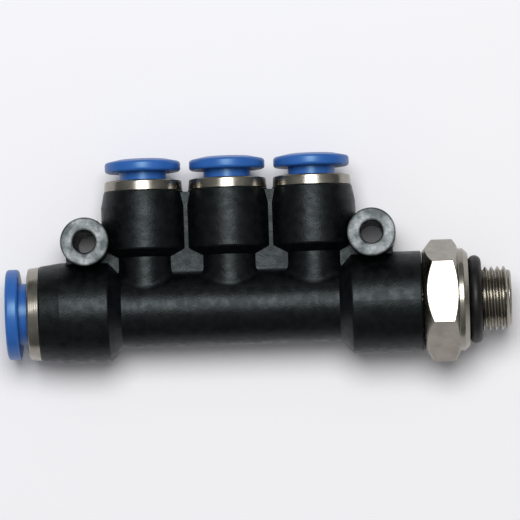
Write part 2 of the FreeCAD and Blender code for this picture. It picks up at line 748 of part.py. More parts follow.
def threaded_stud():
    """Brass stud that swivels in the body; the thread's form is left plain."""
    joined = doc.addObject("Part::MultiFuse", "stud_joined")
    joined.Shapes = [stud_solid(), hexagon()]
    edge = "sizes.turned_edge"
    bore = turned("stud_bore", [
        ("0", STUD_INNER),
        (f"sizes.stud_bore_radius + {edge}", STUD_INNER),
        ("sizes.stud_bore_radius", f"{STUD_INNER} + {edge}"),
        ("sizes.stud_bore_radius", f"{STUD_END} - {edge}"),
        (f"sizes.stud_bore_radius + {edge}", STUD_END),
        ("0", STUD_END),
    ])
    stud = doc.addObject("Part::Cut", "stud")
    stud.Base = joined
    stud.Tool = bore
    place_on_run(stud, TO_PLUS_X)
    return node(stud, "threaded_stud")


def o_ring(name, label, inner, section, middle):
    """Round ring of rubber: inner radius, thickness and place along the stud."""
    ring = doc.addObject("Part::Torus", name)
    ring.setExpression("Radius1", f"{inner} + {section} / 2")
    ring.setExpression("Radius2", f"{section} / 2")
    place_on_run(ring, TO_PLUS_X, x=middle)
    return node(ring, label)


def stem_retaining_ring():
    """Split ring, half in the stud's groove and half in the body's."""
    outer = "(sizes.journal_radius + sizes.journal_clearance + sizes.retainer_depth)"
    body = turned("retainer_form", [
        (RETAINER_INNER, RETAINER_LOW),
        (f"{outer} - sizes.retainer_slack", RETAINER_LOW),
        (f"{outer} - sizes.retainer_slack", RETAINER_TOP),
        (RETAINER_INNER, RETAINER_TOP),
    ])
    sketch = outline(body, "retainer_gap", "XY_Plane", [
        ("0", "-sizes.retainer_split / 2"),
        (outer, "-sizes.retainer_split / 2"),
        (outer, "sizes.retainer_split / 2"),
        ("0", "sizes.retainer_split / 2"),
    ])
    gap = body.newObject("PartDesign::Pocket", "retainer_cut")
    gap.Profile = sketch
    gap.Type = 1
    gap.Midplane = True
    body.Tip = gap
    doc.recompute()
    place_on_run(body, TO_PLUS_X)
    return node(body, "stem_retaining_ring")


manifold_body()
push_in_port("run", "run", TO_MINUS_X, "0", 8)
for branch in BRANCHES:
    push_in_port("branch", f"branch_{branch}", TO_PLUS_Y, branch_x(branch), 6)
threaded_stud()
o_ring("thread_ring", "thread_o_ring", "sizes.undercut_radius", "sizes.thread_ring_section",
       f"{SEAL_FACE} + sizes.thread_ring_section / 2")
o_ring("stem_ring", "stem_o_ring", STEM_RING_INNER, "sizes.stem_ring_section",
       f"({STEM_GROOVE_LOW} + {STEM_GROOVE_TOP}) / 2")
stem_retaining_ring()
doc.recompute()

# Nothing is written unless every object is sound.
for item in doc.Objects:
    if "Invalid" in item.State or "Error" in item.State:
        raise RuntimeError(f"{item.Name} failed: {item.State}")
for part in nodes:
    if part.Shape.isNull() or not part.Shape.isValid():
        raise RuntimeError(f"{part.Label} has no valid shape")

os.makedirs("parts", exist_ok=True)
for part in nodes:
    part.Shape.exportStep(f"parts/{part.Label}.step")
    box = part.Shape.BoundBox
    print(f"{part.Label}: {len(part.Shape.Solids)} solid, {part.Shape.Volume:.1f} mm3, "
          f"x {box.XMin:.2f}..{box.XMax:.2f} y {box.YMin:.2f}..{box.YMax:.2f} "
          f"z {box.ZMin:.2f}..{box.ZMax:.2f}")
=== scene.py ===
# %% [markdown]
# Air distributor
#
# A push-in manifold for compressed air: a black moulded body with four blue
# release collars, a plated ring in each port, and a swivelling plated stud with
# a hexagon and a short thread. The solids already have their true size and
# place. This lesson gives them the finish of the real thing. It also makes the
# guide rings, the collars and the stud again, with the fine edges, the even
# shading and the thread that a render needs.

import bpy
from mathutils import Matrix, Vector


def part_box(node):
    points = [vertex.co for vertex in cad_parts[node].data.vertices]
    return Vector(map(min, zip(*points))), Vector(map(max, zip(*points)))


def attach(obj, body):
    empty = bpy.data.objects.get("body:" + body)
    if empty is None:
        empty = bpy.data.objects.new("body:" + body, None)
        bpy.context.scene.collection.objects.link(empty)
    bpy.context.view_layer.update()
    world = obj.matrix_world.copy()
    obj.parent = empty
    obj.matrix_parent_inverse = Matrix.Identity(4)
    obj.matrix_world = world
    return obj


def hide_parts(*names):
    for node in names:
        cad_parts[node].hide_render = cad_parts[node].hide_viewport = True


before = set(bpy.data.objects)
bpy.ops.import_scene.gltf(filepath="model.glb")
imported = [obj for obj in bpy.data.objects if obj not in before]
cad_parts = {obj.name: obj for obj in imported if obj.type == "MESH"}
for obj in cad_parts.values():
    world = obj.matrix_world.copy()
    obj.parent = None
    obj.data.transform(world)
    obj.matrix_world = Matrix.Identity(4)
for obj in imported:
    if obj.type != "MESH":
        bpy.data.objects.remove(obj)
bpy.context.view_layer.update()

# %% [markdown]
# The rest of the lesson works in millimetres and turns them into metres where a
# vertex is made. One fact places everything: a guide ring sits on the axis of
# its port. So the run's axis and each branch's axis are read from the boxes of
# those rings and not typed again.

# %% Modules and places
import math

import bmesh
import bpy
from mathutils import Matrix, Vector

MM = 0.001
scene = bpy.context.scene


def box_mm(node):
    """Lowest and highest corner of a solid, in millimetres."""
    low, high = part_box(node)
    return low / MM, high / MM


BRANCHES = (1, 2, 3)
ring_low, ring_high = box_mm("run_guide_ring")
RUN_Y = (ring_low.y + ring_high.y) / 2
RUN_Z = (ring_low.z + ring_high.z) / 2
RUN_CENTRE = Vector((0, RUN_Y, RUN_Z))


def branch_centre(index):
    """Point where a branch's axis crosses the run's axis."""
    low, high = box_mm(f"branch_{index}_guide_ring")
    return Vector(((low.x + high.x) / 2, RUN_Y, RUN_Z))


print("run axis at y", round(RUN_Y, 3), "z", round(RUN_Z, 3))
print("branches at x", [round(branch_centre(k).x, 2) for k in BRANCHES])

# %% [markdown]
# Shared effects are node groups, built once. Every group here reads the
# object's own coordinates, so a grain keeps its real size on a small ring and
# on the large body alike. Noise Scale counts waves per metre: a grain of a
# tenth of a millimetre needs a scale near ten thousand.
#
# Mottle gives a smooth moulded or plated surface its slow patches, which break
# a highlight into the cloudy streaks that a real moulding shows. It puts out a
# mask from 0 to 1 and never a shader, because each material decides for itself
# what the patches do.

# %% A node group for slow patches
NOISE_FINE = 3.0


def new_group(name, inputs, outputs):
    """Empty shader node group with named sockets; returns it with its two ends."""
    group = bpy.data.node_groups.new(name, "ShaderNodeTree")
    for socket, kind in inputs:
        group.interface.new_socket(name=socket, in_out="INPUT", socket_type=kind)
    for socket, kind in outputs:
        group.interface.new_socket(name=socket, in_out="OUTPUT", socket_type=kind)
    start = group.nodes.new("NodeGroupInput")
    end = group.nodes.new("NodeGroupOutput")
    return group, start, end


def make_mottle():
    """Patches of a chosen size with a soft or hard border."""
    group, start, end = new_group(
        "Mottle",
        [("Scale", "NodeSocketFloat"), ("Low", "NodeSocketFloat"), ("High", "NodeSocketFloat")],
        [("Mask", "NodeSocketFloat")])
    place = group.nodes.new("ShaderNodeTexCoord")
    noise = group.nodes.new("ShaderNodeTexNoise")
    noise.inputs["Detail"].default_value = NOISE_FINE
    levels = group.nodes.new("ShaderNodeMapRange")
    group.links.new(place.outputs["Object"], noise.inputs["Vector"])
    group.links.new(start.outputs["Scale"], noise.inputs["Scale"])
    group.links.new(noise.outputs["Fac"], levels.inputs["Value"])
    group.links.new(start.outputs["Low"], levels.inputs["From Min"])
    group.links.new(start.outputs["High"], levels.inputs["From Max"])
    group.links.new(levels.outputs["Result"], end.inputs["Mask"])
    return group


MOTTLE = make_mottle()
print("group:", MOTTLE.name)

# %% [markdown]
# Turning marks are the fine rings that a lathe tool leaves. They vary only along
# the part's axis, so the group stretches the coordinates: the axis is kept and
# the other two directions are squeezed to almost nothing. A branch's ring turns
# about Y and the run's pieces turn about X, so the stretch is an input.

# %% A node group for turning marks
def make_turning():
    """Fine rings across one axis, as a height."""
    group, start, end = new_group(
        "Turning marks",
        [("Stretch", "NodeSocketVector"), ("Scale", "NodeSocketFloat")],
        [("Height", "NodeSocketFloat")])
    place = group.nodes.new("ShaderNodeTexCoord")
    stretch = group.nodes.new("ShaderNodeVectorMath")
    stretch.operation = "MULTIPLY"
    noise = group.nodes.new("ShaderNodeTexNoise")
    noise.inputs["Detail"].default_value = NOISE_FINE
    group.links.new(place.outputs["Object"], stretch.inputs[0])
    group.links.new(start.outputs["Stretch"], stretch.inputs[1])
    group.links.new(stretch.outputs["Vector"], noise.inputs["Vector"])
    group.links.new(start.outputs["Scale"], noise.inputs["Scale"])
    group.links.new(noise.outputs["Fac"], end.inputs["Height"])
    return group


TURNING = make_turning()
print("group:", TURNING.name)

# %% [markdown]
# A material is built by one short function each. The helpers below only save
# typing: they add a node, place a group with its values, and blend two colours
# or two numbers by a mask. A number that is the same all over stays on the
# Principled shader's own socket.

# %% Helpers for materials
def new_material(name, **sockets):
    """Material with a Principled shader whose plain sockets are set."""
    material = bpy.data.materials.new(name)
    material.use_nodes = True
    shader = material.node_tree.nodes["Principled BSDF"]
    for socket, value in sockets.items():
        shader.inputs[socket.replace("_", " ")].default_value = value
    return material, material.node_tree, shader


def add_group(tree, group, **values):
    """Place a node group and set its inputs."""
    node = tree.nodes.new("ShaderNodeGroup")
    node.node_tree = group
    for socket, value in values.items():
        node.inputs[socket].default_value = value
    return node.outputs[0]


def blend_colours(tree, mask, first, second):
    """First colour where the mask is 0, second where it is 1."""
    mix = tree.nodes.new("ShaderNodeMix")
    mix.data_type = "RGBA"
    tree.links.new(mask, mix.inputs["Factor"])
    for socket, colour in (("A", first), ("B", second)):
        slot = [s for s in mix.inputs if s.name == socket and s.type == "RGBA"][0]
        if isinstance(colour, tuple):
            slot.default_value = (*colour, 1)
        else:
            tree.links.new(colour, slot)
    return [s for s in mix.outputs if s.type == "RGBA"][0]


def spread(tree, mask, low, high):
    """Number that runs from low to high with a mask."""
    node = tree.nodes.new("ShaderNodeMapRange")
    node.inputs["To Min"].default_value = low
    node.inputs["To Max"].default_value = high
    tree.links.new(mask, node.inputs["Value"])
    return node.outputs["Result"]


def add_bump(tree, shader, height, depth, strength, under=None):
    """Fine relief, its depth in millimetres, on top of any relief made before."""
    bump = tree.nodes.new("ShaderNodeBump")
    bump.inputs["Distance"].default_value = depth * MM
    bump.inputs["Strength"].default_value = strength
    tree.links.new(height, bump.inputs["Height"])
    if under is not None:
        tree.links.new(under, bump.inputs["Normal"])
    tree.links.new(bump.outputs["Normal"], shader.inputs["Normal"])
    return bump.outputs["Normal"]


print("helpers ready")

# %% [markdown]
# The body is glass-filled nylon from a spark-eroded mould: near black, with a
# fine even grain and a dull, cool sheen. The sheen is cloudy, because the skin
# of the moulding is resin-rich in some places and not in others. The faces of the
# two screw lugs get a pale, patchy grey painted into their colour: a painted
# highlight that stands for the light those flat faces catch. The lugs stand as
# high above the run's axis as below it, so a mask picks their faces out by height
# from that axis and by distance from the screw holes. Each of its two borders
# fades from 0 to 1 between two places.

# %% Body material
LUG_X = 21.25
OUTSIDE_FACE = 3.75
INSIDE_FACE = 3.15
BELOW_FACE = 0.3
AT_FACE = 0.05
PATCH_SCALE = 800.0
# Size of the patches in the painted highlight on the lug faces.
LUG_HIGHLIGHT_PATCH_SCALE = 520.0
SPECK_SCALE = 2600.0
GRAIN_SCALE = 5200.0
RESIN_COLOURS = (0.0013, 0.0016, 0.0019), (0.0026, 0.0031, 0.0035)
# The next two colours are a painted highlight on the lug faces: a pale grey for the light those flat
# faces catch, and a dimmer grey for patches in it.
LUG_HIGHLIGHT_COLOURS = (0.27, 0.285, 0.29), (0.50, 0.52, 0.53)
DIM_LUG_HIGHLIGHT = (0.085, 0.095, 0.10)
COOL_SHEEN = (0.86, 0.97, 1.0, 1)
SWELL_DEPTH = 0.03
GRAIN_DEPTH = 0.02


def calculate(tree, operation, *values):
    """Math node with numbers or links as its inputs."""
    node = tree.nodes.new("ShaderNodeMath")
    node.operation = operation
    for socket, value in zip(node.inputs, values):
        if isinstance(value, (int, float)):
            socket.default_value = value
        else:
            tree.links.new(value, socket)
    return node.outputs["Value"]


def ramp(tree, value, zero_at, one_at):
    """0 at one value, 1 at another, and a smooth rise between."""
    node = tree.nodes.new("ShaderNodeMapRange")
    node.interpolation_type = "SMOOTHSTEP"
    node.inputs["From Min"].default_value = zero_at
    node.inputs["From Max"].default_value = one_at
    tree.links.new(value, node.inputs["Value"])
    return node.outputs["Result"]


def lug_face_mask(tree):
    """1 on the two lugs' front and back faces, fading out over their edges."""
    place = tree.nodes.new("ShaderNodeTexCoord")
    split = tree.nodes.new("ShaderNodeSeparateXYZ")
    tree.links.new(place.outputs["Object"], split.inputs["Vector"])
    across = calculate(tree, "SUBTRACT", calculate(tree, "ABSOLUTE", split.outputs["X"]), LUG_X * MM)
    squares = [calculate(tree, "MULTIPLY", side, side) for side in (across, split.outputs["Y"])]
    distance = calculate(tree, "SQRT", calculate(tree, "ADD", *squares))
    height = calculate(tree, "ABSOLUTE", calculate(tree, "SUBTRACT", split.outputs["Z"], RUN_Z * MM))
    inside = ramp(tree, distance, OUTSIDE_FACE * MM, INSIDE_FACE * MM)
    at_face = ramp(tree, height, (RUN_Z - BELOW_FACE) * MM, (RUN_Z - AT_FACE) * MM)
    return calculate(tree, "MULTIPLY", inside, at_face)


def make_black_nylon():
    """Near-black nylon with a cloudy sheen and a painted highlight on the lug faces."""
    material, tree, shader = new_material(
        "black_nylon", Specular_IOR_Level=0.23, Specular_Tint=COOL_SHEEN)
    patches = add_group(tree, MOTTLE, Scale=PATCH_SCALE, Low=0.38, High=0.62)
    highlight_patches = add_group(tree, MOTTLE, Scale=LUG_HIGHLIGHT_PATCH_SCALE, Low=0.38, High=0.64)
    specks = add_group(tree, MOTTLE, Scale=SPECK_SCALE, Low=0.3, High=0.7)
    grain = add_group(tree, MOTTLE, Scale=GRAIN_SCALE, Low=0.2, High=0.8)
    resin = blend_colours(tree, patches, *RESIN_COLOURS)
    # Painted highlight: pale grey in patches, laid over the resin on the lug faces by their mask.
    pale_highlight = blend_colours(tree, specks, *LUG_HIGHLIGHT_COLOURS)
    painted_lug_highlight = blend_colours(tree, highlight_patches, DIM_LUG_HIGHLIGHT, pale_highlight)
    colour = blend_colours(tree, lug_face_mask(tree), resin, painted_lug_highlight)
    tree.links.new(colour, shader.inputs["Base Color"])
    tree.links.new(spread(tree, patches, 0.32, 0.44), shader.inputs["Roughness"])
    swell = add_bump(tree, shader, patches, SWELL_DEPTH, strength=0.5)
    add_bump(tree, shader, grain, GRAIN_DEPTH, strength=0.6, under=swell)
    return material


BLACK_NYLON = make_black_nylon()
print("material:", BLACK_NYLON.name)

# %% [markdown]
# The release collars are moulded in a blue acetal: smooth and slightly waxy. In
# the picture their highlights stay blue and never turn white. So the gloss is
# soft and gets a blue tint, and slow patches vary it a little over a flange.

# %% Collar material
BLUES = (0.022, 0.105, 0.38), (0.028, 0.120, 0.43)
BLUE_SHEEN = (0.55, 0.85, 1.0, 1)
MOULD_GRAIN = 0.008


def make_blue_acetal():
    """Blue acetal with a soft gloss."""
    material, tree, shader = new_material(
        "blue_acetal", Specular_IOR_Level=0.65, Specular_Tint=BLUE_SHEEN)
    patches = add_group(tree, MOTTLE, Scale=300.0, Low=0.35, High=0.65)
    grain = add_group(tree, MOTTLE, Scale=3000.0, Low=0.2, High=0.8)
    colour = blend_colours(tree, patches, *BLUES)
    tree.links.new(colour, shader.inputs["Base Color"])
    tree.links.new(spread(tree, patches, 0.33, 0.39), shader.inputs["Roughness"])
    add_bump(tree, shader, grain, MOULD_GRAIN, strength=0.5)
    return material


BLUE_ACETAL = make_blue_acetal()
print("material:", BLUE_ACETAL.name)

# %% [markdown]
# The guide rings and the stud are brass under bright nickel. Nickel is a metal
# with a faint warm cast, so the colour goes into Base Color with Metallic at 1.
# The lathe's rings show through the plating as a very shallow relief.

# %% Plated brass material
ALONG_X = (1.0, 0.02, 0.02)
ALONG_Y = (0.02, 1.0, 0.02)
TOOL_MARKS = 9000.0
TOOL_MARK_DEPTH = 0.01
NICKELS = (0.27, 0.249, 0.213), (0.35, 0.326, 0.282)


def make_plated(name, stretch):
    """Bright nickel over turned brass; stretch names the turned axis."""
    material, tree, shader = new_material(name, Metallic=1.0)
    rings = add_group(tree, TURNING, Stretch=stretch, Scale=TOOL_MARKS)
    patches = add_group(tree, MOTTLE, Scale=500.0, Low=0.35, High=0.65)
    colour = blend_colours(tree, patches, *NICKELS)
    tree.links.new(colour, shader.inputs["Base Color"])
    tree.links.new(spread(tree, patches, 0.23, 0.29), shader.inputs["Roughness"])
    add_bump(tree, shader, rings, TOOL_MARK_DEPTH, strength=0.5)
    return material


NICKEL_ALONG_RUN = make_plated("nickel_turned_along_run", ALONG_X)
NICKEL_ALONG_BRANCH = make_plated("nickel_turned_along_branch", ALONG_Y)
print("materials:", NICKEL_ALONG_RUN.name, NICKEL_ALONG_BRANCH.name)

# %% [markdown]
# Rubber, spring steel and the plain backing rings sit deep in the ports, where
# little light reaches them. They still get their own finish, because anyone who
# looks straight into a port sees them.

# %% Rubber, spring steel and backing ring materials
RUBBERS = (0.0045, 0.0045, 0.0047), (0.009, 0.009, 0.0092)
STEELS = (0.42, 0.41, 0.40), (0.60, 0.59, 0.57)
ACETALS = (0.50, 0.48, 0.43), (0.58, 0.56, 0.51)
ROLLED_ALONG_X = (1.0, 0.05, 0.6)
RUBBER_GRAIN = 0.01


def make_rubber():
    """Black nitrile rubber with a faint bloom."""
    material, tree, shader = new_material("black_rubber", Specular_IOR_Level=0.3)
    bloom = add_group(tree, MOTTLE, Scale=700.0, Low=0.4, High=0.7)
    grain = add_group(tree, MOTTLE, Scale=6000.0, Low=0.2, High=0.8)
    colour = blend_colours(tree, bloom, *RUBBERS)
    tree.links.new(colour, shader.inputs["Base Color"])
    tree.links.new(spread(tree, bloom, 0.42, 0.58), shader.inputs["Roughness"])
    add_bump(tree, shader, grain, RUBBER_GRAIN, strength=0.5)
    return material


def make_stamped_steel():
    """Stamped strip with a rolled grain."""
    material, tree, shader = new_material("stamped_steel", Metallic=1.0)
    rolled = add_group(tree, TURNING, Stretch=ROLLED_ALONG_X, Scale=3500.0)
    colour = blend_colours(tree, rolled, *STEELS)
    tree.links.new(colour, shader.inputs["Base Color"])
    tree.links.new(spread(tree, rolled, 0.25, 0.40), shader.inputs["Roughness"])
    return material


def make_natural_acetal():
    """Natural, unfilled acetal."""
    material, tree, shader = new_material("natural_acetal", IOR=1.48)
    patches = add_group(tree, MOTTLE, Scale=600.0, Low=0.35, High=0.65)
    colour = blend_colours(tree, patches, *ACETALS)
    tree.links.new(colour, shader.inputs["Base Color"])
    tree.links.new(spread(tree, patches, 0.40, 0.50), shader.inputs["Roughness"])
    return material


RUBBER = make_rubber()
STAMPED_STEEL = make_stamped_steel()
NATURAL_ACETAL = make_natural_acetal()
print("materials:", RUBBER.name, STAMPED_STEEL.name, NATURAL_ACETAL.name)

# %% [markdown]
# The body, the O-rings and the parts deep in the ports show as they are: each
# is a smooth or a hidden form that needs only its finish. A dictionary pairs
# every such solid with its material, so what stays can be read at a glance, and
# the four ports, which hold the same parts, fill it in one loop.

# %% Materials on the solids that stay
PORTS = ["run"] + [f"branch_{index}" for index in BRANCHES]
finishes = {
    "manifold_body": BLACK_NYLON,
    "stem_retaining_ring": STAMPED_STEEL,
    "stem_o_ring": RUBBER,
    "thread_o_ring": RUBBER,
}
for port in PORTS:
    finishes[f"{port}_tube_seal"] = RUBBER
    finishes[f"{port}_claw_backing_ring"] = NATURAL_ACETAL
    finishes[f"{port}_lock_claw"] = STAMPED_STEEL

for node, material in finishes.items():
    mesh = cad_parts[node].data
    mesh.materials.clear()
    mesh.materials.append(material)
print("solids that stay:", len(finishes))

# %% [markdown]
# The solids that stay are fine as they are, but polished metal and glossy
# plastic show every facet in their highlights. So those pieces are made again
# here, in the same place and form. Three helpers serve them. One spins a profile
# about an axis. One takes the burr off sharp edges with a small flat, because a
# smoothed edge would bend the light on the whole face beside it. The last turns
# a finished bmesh into an object that rides on a body and stands for a solid.
# MERGE is the distance at which two corners are one, and NEAR the one at which
# a corner counts as lying at a named place.

# %% Helpers for turned pieces
TURN_STEPS = 128
SHARP = math.radians(19)
MERGE = 0.0005
NEAR = 0.01


def spin_profile(profile, centre, axis, closed=False):
    """Bmesh in millimetres: points (along, radius) spun a full turn about an axis."""
    blank = bmesh.new()
    side = axis.orthogonal().normalized()
    points = [blank.verts.new(centre + axis * along + side * radius) for along, radius in profile]
    for first, second in zip(points, points[1:]):
        blank.edges.new((first, second))
    if closed:
        blank.edges.new((points[-1], points[0]))
    bmesh.ops.spin(blank, geom=blank.verts[:] + blank.edges[:], cent=centre, axis=axis,
                   angle=2 * math.pi, steps=TURN_STEPS, use_merge=True)
    return blank


def break_edges(piece, width):
    """Take the burr off every sharp edge with a small flat, as a turner does."""
    edges = [e for e in piece.edges if len(e.link_faces) == 2 and e.calc_face_angle() > SHARP]
    bmesh.ops.bevel(piece, geom=edges, offset=width, affect="EDGES", segments=1,
                    profile=0.5, material=-1, clamp_overlap=True)
    return len(edges)


def finish_piece(piece, name, node, body, material):
    """Object in metres that stands for a solid of the frame."""
    bmesh.ops.remove_doubles(piece, verts=piece.verts, dist=MERGE)
    bmesh.ops.recalc_face_normals(piece, faces=piece.faces)
    bmesh.ops.scale(piece, vec=(MM, MM, MM), verts=piece.verts)
    mesh = bpy.data.meshes.new(name)
    piece.to_mesh(mesh)
    piece.free()
    if "custom_normal" in mesh.attributes:
        mesh.attributes.remove(mesh.attributes["custom_normal"])
    mesh.shade_smooth()
    mesh.set_sharp_from_angle(angle=SHARP)
    mesh.materials.append(material)
    shown = bpy.data.objects.new(name, mesh)
    scene.collection.objects.link(shown)
    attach(shown, body)
    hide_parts(node)
    print(name, len(mesh.polygons), "faces")


print("steps in a turn:", TURN_STEPS)

# %% [markdown]
# A guide ring is turned from brass tube. Its sleeve is pressed into the body,
# its collar shows at the mouth, and its narrow throat keeps the release collar
# from coming out. One profile makes all of that in a single spin, and only its
# outer corner is rounded afterwards. The profile has one point more than its
# shape asks for, just below that corner: it keeps the rounding's soft shading
# off the cone, so that the highlight there stays crisp.

# %% Turn the guide rings
RING_SIZES = {
    "run": {"seat": 6.1, "sleeve": 5.2, "throat": 4.77, "throat_length": 2.3, "inset": 0.2},
    "branch": {"seat": 4.9, "sleeve": 4.1, "throat": 3.67, "throat_length": 2.1, "inset": 0.12},
}
RING_EDGE = 0.25
HOLD = 0.35
ROUND_STEPS = 6
body_low, body_high = box_mm("manifold_body")


def ring_places(port):
    """Axis, centre, inner end, mouth, top and foot radius of a port's guide ring."""
    low, high = box_mm(f"{port}_guide_ring")
    if port == "run":
        return Vector((-1, 0, 0)), RUN_CENTRE, -high.x, -body_low.x, -low.x, (high.y - low.y) / 2
    centre = branch_centre(int(port[-1]))
    return (Vector((0, 1, 0)), centre, low.y - RUN_Y, body_high.y - RUN_Y, high.y - RUN_Y,
            (high.x - low.x) / 2)


def turn_guide_ring(port):
    """Pressed sleeve, visible collar and throat, spun as one."""
    sizes = RING_SIZES[port.split("_")[0]]
    axis, centre, inner, mouth, top, foot = ring_places(port)
    lip = foot - sizes["inset"]
    share = HOLD / (top - mouth)
    ring = spin_profile([
        (inner, sizes["sleeve"]), (inner, sizes["seat"]), (mouth, sizes["seat"]), (mouth, foot),
        (top - HOLD, lip + sizes["inset"] * share), (top, lip),
        (top, sizes["throat"] + RING_EDGE), (top - RING_EDGE, sizes["throat"]),
        (top - sizes["throat_length"], sizes["throat"]), (top - sizes["throat_length"], sizes["sleeve"]),
    ], centre, axis, closed=True)
    corner = [e for e in ring.edges if all(
        abs((v.co - centre).dot(axis) - top) < NEAR
        and abs((v.co - centre - axis * top).length - lip) < NEAR for v in e.verts)]
    bmesh.ops.bevel(ring, geom=corner, offset=RING_EDGE, affect="EDGES", segments=ROUND_STEPS,
                    profile=0.5, material=-1, clamp_overlap=True)
    material = NICKEL_ALONG_RUN if port == "run" else NICKEL_ALONG_BRANCH
    finish_piece(ring, f"{port}_guide_ring_turned", f"{port}_guide_ring", "manifold",
                 material)


for port in PORTS:
    turn_guide_ring(port)

# %% [markdown]
# A release collar is moulded, with a domed flange to press on and a slotted nose
# that snaps past the throat. The solid already has that form, but as loose
# triangles, and the light breaks where they don't share their corners. A copy
# whose corners are merged shades as one surface, so the solid's own shape is
# kept and only its shading is mended.

# %% Join the faces of the collars
def join_collar(port):
    """Copy of a collar with merged corners, riding on the collar's own body."""
    collar = bmesh.new()
    collar.from_mesh(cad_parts[f"{port}_release_collar"].data)
    bmesh.ops.scale(collar, vec=(1 / MM, 1 / MM, 1 / MM), verts=collar.verts)
    finish_piece(collar, f"{port}_release_collar_moulded", f"{port}_release_collar", f"{port}_collar",
                 BLUE_ACETAL)


for port in PORTS:
    join_collar(port)

# %% [markdown]
# The stud is turned from hexagon bar, so it is modelled in the order in which a
# lathe makes it. A profile of a few points is spun into the whole blank, bore
# and grooves included. The blank is open at the thread's neck and at the end
# face, where the thread is joined on later. Places run outwards from the body's
# end, and a groove's two sides are measured from the stud's inner end.

# %% Turn the stud's blank
stud_low, stud_high = box_mm("threaded_stud")
INNER_END = stud_low.x
OUTER_END = stud_high.x
HEX_FLAT = 8.0
HEX_LEAN = math.radians(7.2)
HEX_GAP = 0.1
HEX_LENGTH = 5.3
HEX_CORNER = HEX_FLAT / math.cos(math.pi / 6)
BACK_FACE = 7.3
BACK_CHAMFER = 1.5
FRONT_FACE = 7.85
FRONT_CHAMFER = 0.75
BLANK = 9.5
COLLAR = 7.65
COLLAR_CHAMFER = 0.75
COLLAR_LENGTH = 1.5
NECK_RADIUS = 4.6
NECK_LENGTH = 1.7
HEX_BACK = body_high.x + HEX_GAP
HEX_FRONT = HEX_BACK + HEX_LENGTH
SEAL_FACE = HEX_FRONT + COLLAR_LENGTH
NECK = SEAL_FACE + NECK_LENGTH
BORE = 3.0
BORE_EDGE = 0.25
JOURNAL = 5.55
RETAINER_GROOVE = {"start": 2.35, "end": 3.45, "floor": 4.9}
O_RING_GROOVE = {"start": 5.05, "end": 6.9, "floor": 4.325}
BROKEN_EDGE = 0.07
ALONG_RUN = Vector((1, 0, 0))


def cone_at(radius, start, start_radius, end, end_radius):
    """Where a cone through two rings reaches a radius."""
    return start + (end - start) * (radius - start_radius) / (end_radius - start_radius)


def groove(sizes):
    """The four corners of a groove in the journal."""
    start = INNER_END + sizes["start"]
    end = INNER_END + sizes["end"]
    return (start, JOURNAL), (start, sizes["floor"]), (end, sizes["floor"]), (end, JOURNAL)


def turn_stud():
    """Bore, journal with its two grooves, hexagon blank and collar."""
    back_edge = cone_at(BLANK, HEX_BACK, BACK_FACE, HEX_BACK + BACK_CHAMFER, HEX_CORNER)
    front_edge = cone_at(BLANK, HEX_FRONT, FRONT_FACE, HEX_FRONT - FRONT_CHAMFER, HEX_CORNER)
    profile = [
        (OUTER_END, BORE + BORE_EDGE), (OUTER_END - BORE_EDGE, BORE),
        (INNER_END + BORE_EDGE, BORE), (INNER_END, BORE + BORE_EDGE),
        (INNER_END, JOURNAL), *groove(RETAINER_GROOVE), *groove(O_RING_GROOVE),
        (HEX_BACK, JOURNAL), (HEX_BACK, BACK_FACE), (back_edge, BLANK),
        (front_edge, BLANK), (HEX_FRONT, FRONT_FACE),
        (HEX_FRONT, COLLAR), (SEAL_FACE - COLLAR_CHAMFER, COLLAR),
        (SEAL_FACE, COLLAR - COLLAR_CHAMFER), (SEAL_FACE, NECK_RADIUS),
        (NECK, NECK_RADIUS),
    ]
    return spin_profile(profile, RUN_CENTRE, ALONG_RUN)


stud = turn_stud()
print("blank:", len(stud.faces), "faces")

# %% [markdown]
# The bar's six flats are what is left of the hexagon after its corners were
# turned off on both sides. So the flats are cut the other way round here: the
# round blank already has its chamfers, and six planes slice it. Where a plane
# meets a chamfer's cone it leaves the curved edge that every turned nut has.
# The first flat leans a few degrees towards the branches, because the stud
# swivels and was left so. The cuts leave slivers where they meet the blank's
# own corners, and a wider merge takes those out.

# %% Cut the six flats
SIDES = 6
ON_PLANE = 0.0001
SLIVER = 0.02


def cut_flats(piece):
    """Slice the blank to a hexagon and close each cut."""
    for index in range(SIDES):
        angle = HEX_LEAN + index * 2 * math.pi / SIDES
        normal = Vector((0, math.sin(angle), math.cos(angle)))
        cut = bmesh.ops.bisect_plane(
            piece, geom=piece.verts[:] + piece.edges[:] + piece.faces[:], dist=ON_PLANE,
            plane_co=RUN_CENTRE + normal * HEX_FLAT, plane_no=normal, clear_outer=True)
        rim = [e for e in cut["geom_cut"] if isinstance(e, bmesh.types.BMEdge)]
        bmesh.ops.contextual_create(piece, geom=rim)
    bmesh.ops.remove_doubles(piece, verts=piece.verts, dist=SLIVER)


cut_flats(stud)
print("edges broken:", break_edges(stud, BROKEN_EDGE))

# %% [markdown]
# The thread is a real helix, in the form that pipe threads have: flanks 55
# degrees apart, with a round root and crest whose radius follows from the
# pitch. One pitch of that outline, from root to root, is spun for seven turns
# while it advances by a pitch in each, so that every turn ends where the next
# one starts and the doubles can be merged. It starts a turn and a half early,
# because both ends are then cut square. A last pass holds the radius down under
# a cone at the mouth, where the thread is chamfered, and brings it to the neck's
# radius at the other end, where the cutter ran out.

# %% Cut the thread
PITCH = 0.907
CREST = 4.8
DEPTH_SHARE = 0.6403
ROUND_SHARE = 0.1373
FLANK = math.radians(27.5)
ARC_STEPS = 4
RUN_OUT = 0.2
THREAD_START = NECK + RUN_OUT
THREAD_TURNS = 7
EARLY_TURNS = 1.5
THREAD_STEPS = 96
THREAD_MERGE = 0.001
END_CHAMFER = 0.8


